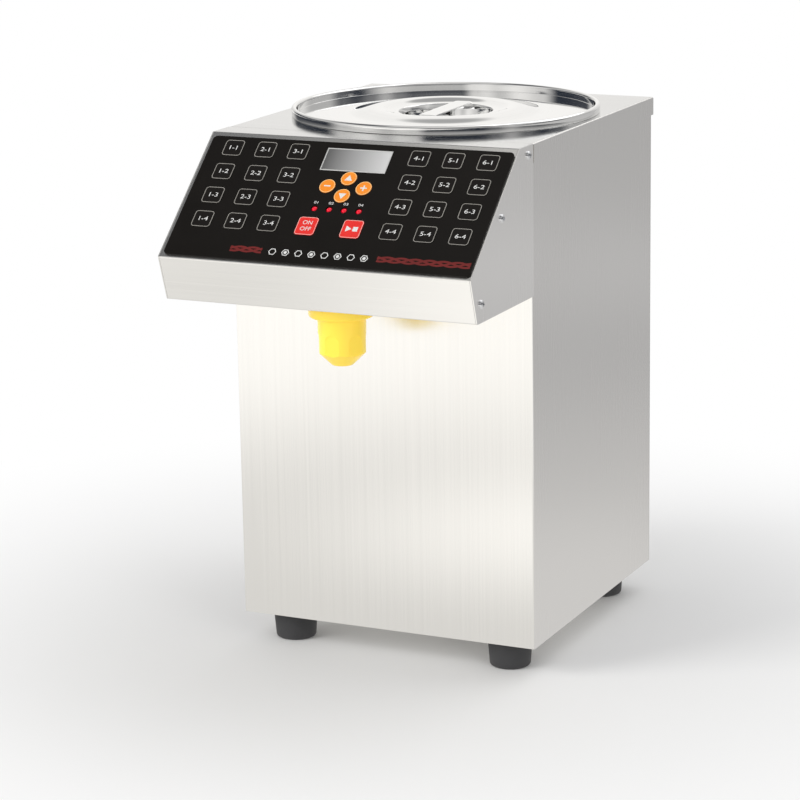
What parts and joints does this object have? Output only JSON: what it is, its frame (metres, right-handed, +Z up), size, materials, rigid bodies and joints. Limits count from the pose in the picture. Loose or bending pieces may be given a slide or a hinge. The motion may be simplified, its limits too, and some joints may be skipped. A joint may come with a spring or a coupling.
{
  "type": "fructose dispenser",
  "caption": "Counter-top syrup dispenser: steel case with a round lidded tank, a sloping keypad head and a screw-on nozzle over a cup bay.",
  "frame": {"origin": "on the table, under the middle of the overall length and width", "axes": "+X to the user's right, -Y to the front where the nozzle is, +Z up"},
  "size_m": [0.2668, 0.3876, 0.437],
  "materials": {
    "case_steel": "brushed sheet, folded",
    "polished_steel": "polished sheet",
    "foot_rubber": "moulded rubber",
    "keypad_film": "satin black film",
    "number_keys": "satin black film with grey outline",
    "orange_keys": "satin orange film",
    "red_keys": "satin red film",
    "display": "clear window over a grey display",
    "status_lights": "clear red lens",
    "board": "solder resist",
    "heater_silicone": "moulded silicone",
    "hose_silicone": "clear hose",
    "pump_metal": "machined",
    "gear_steel": "machined",
    "motor_case": "painted can",
    "valve_metal": "machined",
    "nozzle_plastic": "moulded, glossy",
    "seal_silicone": "moulded silicone",
    "supply_case": "stamped case",
    "inlet_plastic": "moulded"
  },
  "bodies": {
    "case": {"base_pan": "case_steel", "body_shell": "case_steel", "back_panel": "case_steel", "top_cover": "case_steel", "head_cheeks": "case_steel", "head_cover": "case_steel", "tank": "polished_steel", "case_screws": "polished_steel", "feet": "foot_rubber", "keypad_overlay": "keypad_film", "display_module": "display", "status_leds": "status_lights", "control_board": "board", "heater_band": "heater_silicone", "suction_hose": "hose_silicone", "discharge_hose": "hose_silicone", "pump_housing": "pump_metal", "pump_cover": "pump_metal", "pump_motor": "motor_case", "valve_body": "valve_metal", "power_supply": "supply_case", "power_inlet": "inlet_plastic"},
    "lid": {"lid": "polished_steel", "lid_handle": "polished_steel"},
    "nozzle": {"nozzle": "nozzle_plastic", "nozzle_seal": "seal_silicone"},
    "valve_plunger": {"valve_plunger": "gear_steel"},
    "pump_drive": {"drive_gear": "gear_steel"},
    "pump_driven": {"driven_gear": "gear_steel"},
    "rocker": {"rocker": "inlet_plastic"},
    "key_1_1": {"key_1_1": "number_keys"},
    "key_1_2": {"key_1_2": "number_keys"},
    "key_1_3": {"key_1_3": "number_keys"},
    "key_1_4": {"key_1_4": "number_keys"},
    "key_2_1": {"key_2_1": "number_keys"},
    "key_2_2": {"key_2_2": "number_keys"},
    "key_2_3": {"key_2_3": "number_keys"},
    "key_2_4": {"key_2_4": "number_keys"},
    "key_3_1": {"key_3_1": "number_keys"},
    "key_3_2": {"key_3_2": "number_keys"},
    "key_3_3": {"key_3_3": "number_keys"},
    "key_3_4": {"key_3_4": "number_keys"},
    "key_4_1": {"key_4_1": "number_keys"},
    "key_4_2": {"key_4_2": "number_keys"},
    "key_4_3": {"key_4_3": "number_keys"},
    "key_4_4": {"key_4_4": "number_keys"},
    "key_5_1": {"key_5_1": "number_keys"},
    "key_5_2": {"key_5_2": "number_keys"},
    "key_5_3": {"key_5_3": "number_keys"},
    "key_5_4": {"key_5_4": "number_keys"},
    "key_6_1": {"key_6_1": "number_keys"},
    "key_6_2": {"key_6_2": "number_keys"},
    "key_6_3": {"key_6_3": "number_keys"},
    "key_6_4": {"key_6_4": "number_keys"},
    "key_set": {"key_set": "orange_keys"},
    "key_up": {"key_up": "orange_keys"},
    "key_down": {"key_down": "orange_keys"},
    "key_ok": {"key_ok": "orange_keys"},
    "key_power": {"key_power": "red_keys"},
    "key_start": {"key_start": "red_keys"}
  },
  "joints": [
    {"name": "lid_lift", "type": "slide", "parent": "case", "child": "lid", "axis": [0, 0, 1], "range_m": [0, 0.08]},
    {"name": "nozzle_turn", "type": "hinge", "parent": "case", "child": "nozzle", "pos_m": [0, -0.14295, 0.2622], "axis": [0, 0, 1], "range_deg": [0, 350]},
    {"name": "valve_open", "type": "slide", "parent": "case", "child": "valve_plunger", "axis": [0, 0, 1], "range_m": [0, 0.0025], "stiffness_N_per_m": 400, "springref_m": -0.003},
    {"name": "pump_drive", "type": "hinge", "parent": "case", "child": "pump_drive", "pos_m": [0, 0.04405, 0.117], "axis": [1, 0, 0], "continuous": true},
    {"name": "pump_driven", "type": "hinge", "parent": "case", "child": "pump_driven", "pos_m": [0, 0.06805, 0.117], "axis": [1, 0, 0], "continuous": true},
    {"name": "rocker_tip", "type": "hinge", "parent": "case", "child": "rocker", "pos_m": [0.074, 0.18505, 0.13], "axis": [0, 0, 1], "range_deg": [-22, 0]},
    {"name": "key_1_1_press", "type": "slide", "parent": "case", "child": "key_1_1", "axis": [0, 0.6619, -0.7496], "range_m": [0, 0.0004], "stiffness_N_per_m": 600, "springref_m": -0.001},
    {"name": "key_1_2_press", "type": "slide", "parent": "case", "child": "key_1_2", "axis": [0, 0.6619, -0.7496], "range_m": [0, 0.0004], "stiffness_N_per_m": 600, "springref_m": -0.001},
    {"name": "key_1_3_press", "type": "slide", "parent": "case", "child": "key_1_3", "axis": [0, 0.6619, -0.7496], "range_m": [0, 0.0004], "stiffness_N_per_m": 600, "springref_m": -0.001},
    {"name": "key_1_4_press", "type": "slide", "parent": "case", "child": "key_1_4", "axis": [0, 0.6619, -0.7496], "range_m": [0, 0.0004], "stiffness_N_per_m": 600, "springref_m": -0.001},
    {"name": "key_2_1_press", "type": "slide", "parent": "case", "child": "key_2_1", "axis": [0, 0.6619, -0.7496], "range_m": [0, 0.0004], "stiffness_N_per_m": 600, "springref_m": -0.001},
    {"name": "key_2_2_press", "type": "slide", "parent": "case", "child": "key_2_2", "axis": [0, 0.6619, -0.7496], "range_m": [0, 0.0004], "stiffness_N_per_m": 600, "springref_m": -0.001},
    {"name": "key_2_3_press", "type": "slide", "parent": "case", "child": "key_2_3", "axis": [0, 0.6619, -0.7496], "range_m": [0, 0.0004], "stiffness_N_per_m": 600, "springref_m": -0.001},
    {"name": "key_2_4_press", "type": "slide", "parent": "case", "child": "key_2_4", "axis": [0, 0.6619, -0.7496], "range_m": [0, 0.0004], "stiffness_N_per_m": 600, "springref_m": -0.001},
    {"name": "key_3_1_press", "type": "slide", "parent": "case", "child": "key_3_1", "axis": [0, 0.6619, -0.7496], "range_m": [0, 0.0004], "stiffness_N_per_m": 600, "springref_m": -0.001},
    {"name": "key_3_2_press", "type": "slide", "parent": "case", "child": "key_3_2", "axis": [0, 0.6619, -0.7496], "range_m": [0, 0.0004], "stiffness_N_per_m": 600, "springref_m": -0.001},
    {"name": "key_3_3_press", "type": "slide", "parent": "case", "child": "key_3_3", "axis": [0, 0.6619, -0.7496], "range_m": [0, 0.0004], "stiffness_N_per_m": 600, "springref_m": -0.001},
    {"name": "key_3_4_press", "type": "slide", "parent": "case", "child": "key_3_4", "axis": [0, 0.6619, -0.7496], "range_m": [0, 0.0004], "stiffness_N_per_m": 600, "springref_m": -0.001},
    {"name": "key_4_1_press", "type": "slide", "parent": "case", "child": "key_4_1", "axis": [0, 0.6619, -0.7496], "range_m": [0, 0.0004], "stiffness_N_per_m": 600, "springref_m": -0.001},
    {"name": "key_4_2_press", "type": "slide", "parent": "case", "child": "key_4_2", "axis": [0, 0.6619, -0.7496], "range_m": [0, 0.0004], "stiffness_N_per_m": 600, "springref_m": -0.001},
    {"name": "key_4_3_press", "type": "slide", "parent": "case", "child": "key_4_3", "axis": [0, 0.6619, -0.7496], "range_m": [0, 0.0004], "stiffness_N_per_m": 600, "springref_m": -0.001},
    {"name": "key_4_4_press", "type": "slide", "parent": "case", "child": "key_4_4", "axis": [0, 0.6619, -0.7496], "range_m": [0, 0.0004], "stiffness_N_per_m": 600, "springref_m": -0.001},
    {"name": "key_5_1_press", "type": "slide", "parent": "case", "child": "key_5_1", "axis": [0, 0.6619, -0.7496], "range_m": [0, 0.0004], "stiffness_N_per_m": 600, "springref_m": -0.001},
    {"name": "key_5_2_press", "type": "slide", "parent": "case", "child": "key_5_2", "axis": [0, 0.6619, -0.7496], "range_m": [0, 0.0004], "stiffness_N_per_m": 600, "springref_m": -0.001},
    {"name": "key_5_3_press", "type": "slide", "parent": "case", "child": "key_5_3", "axis": [0, 0.6619, -0.7496], "range_m": [0, 0.0004], "stiffness_N_per_m": 600, "springref_m": -0.001},
    {"name": "key_5_4_press", "type": "slide", "parent": "case", "child": "key_5_4", "axis": [0, 0.6619, -0.7496], "range_m": [0, 0.0004], "stiffness_N_per_m": 600, "springref_m": -0.001},
    {"name": "key_6_1_press", "type": "slide", "parent": "case", "child": "key_6_1", "axis": [0, 0.6619, -0.7496], "range_m": [0, 0.0004], "stiffness_N_per_m": 600, "springref_m": -0.001},
    {"name": "key_6_2_press", "type": "slide", "parent": "case", "child": "key_6_2", "axis": [0, 0.6619, -0.7496], "range_m": [0, 0.0004], "stiffness_N_per_m": 600, "springref_m": -0.001},
    {"name": "key_6_3_press", "type": "slide", "parent": "case", "child": "key_6_3", "axis": [0, 0.6619, -0.7496], "range_m": [0, 0.0004], "stiffness_N_per_m": 600, "springref_m": -0.001},
    {"name": "key_6_4_press", "type": "slide", "parent": "case", "child": "key_6_4", "axis": [0, 0.6619, -0.7496], "range_m": [0, 0.0004], "stiffness_N_per_m": 600, "springref_m": -0.001},
    {"name": "key_set_press", "type": "slide", "parent": "case", "child": "key_set", "axis": [0, 0.6619, -0.7496], "range_m": [0, 0.0004], "stiffness_N_per_m": 600, "springref_m": -0.001},
    {"name": "key_up_press", "type": "slide", "parent": "case", "child": "key_up", "axis": [0, 0.6619, -0.7496], "range_m": [0, 0.0004], "stiffness_N_per_m": 600, "springref_m": -0.001},
    {"name": "key_down_press", "type": "slide", "parent": "case", "child": "key_down", "axis": [0, 0.6619, -0.7496], "range_m": [0, 0.0004], "stiffness_N_per_m": 600, "springref_m": -0.001},
    {"name": "key_ok_press", "type": "slide", "parent": "case", "child": "key_ok", "axis": [0, 0.6619, -0.7496], "range_m": [0, 0.0004], "stiffness_N_per_m": 600, "springref_m": -0.001},
    {"name": "key_power_press", "type": "slide", "parent": "case", "child": "key_power", "axis": [0, 0.6619, -0.7496], "range_m": [0, 0.0004], "stiffness_N_per_m": 600, "springref_m": -0.001},
    {"name": "key_start_press", "type": "slide", "parent": "case", "child": "key_start", "axis": [0, 0.6619, -0.7496], "range_m": [0, 0.0004], "stiffness_N_per_m": 600, "springref_m": -0.001}
  ],
  "couplings": [
    {"joint": "pump_driven", "follows": "pump_drive", "ratio": -1}
  ]
}
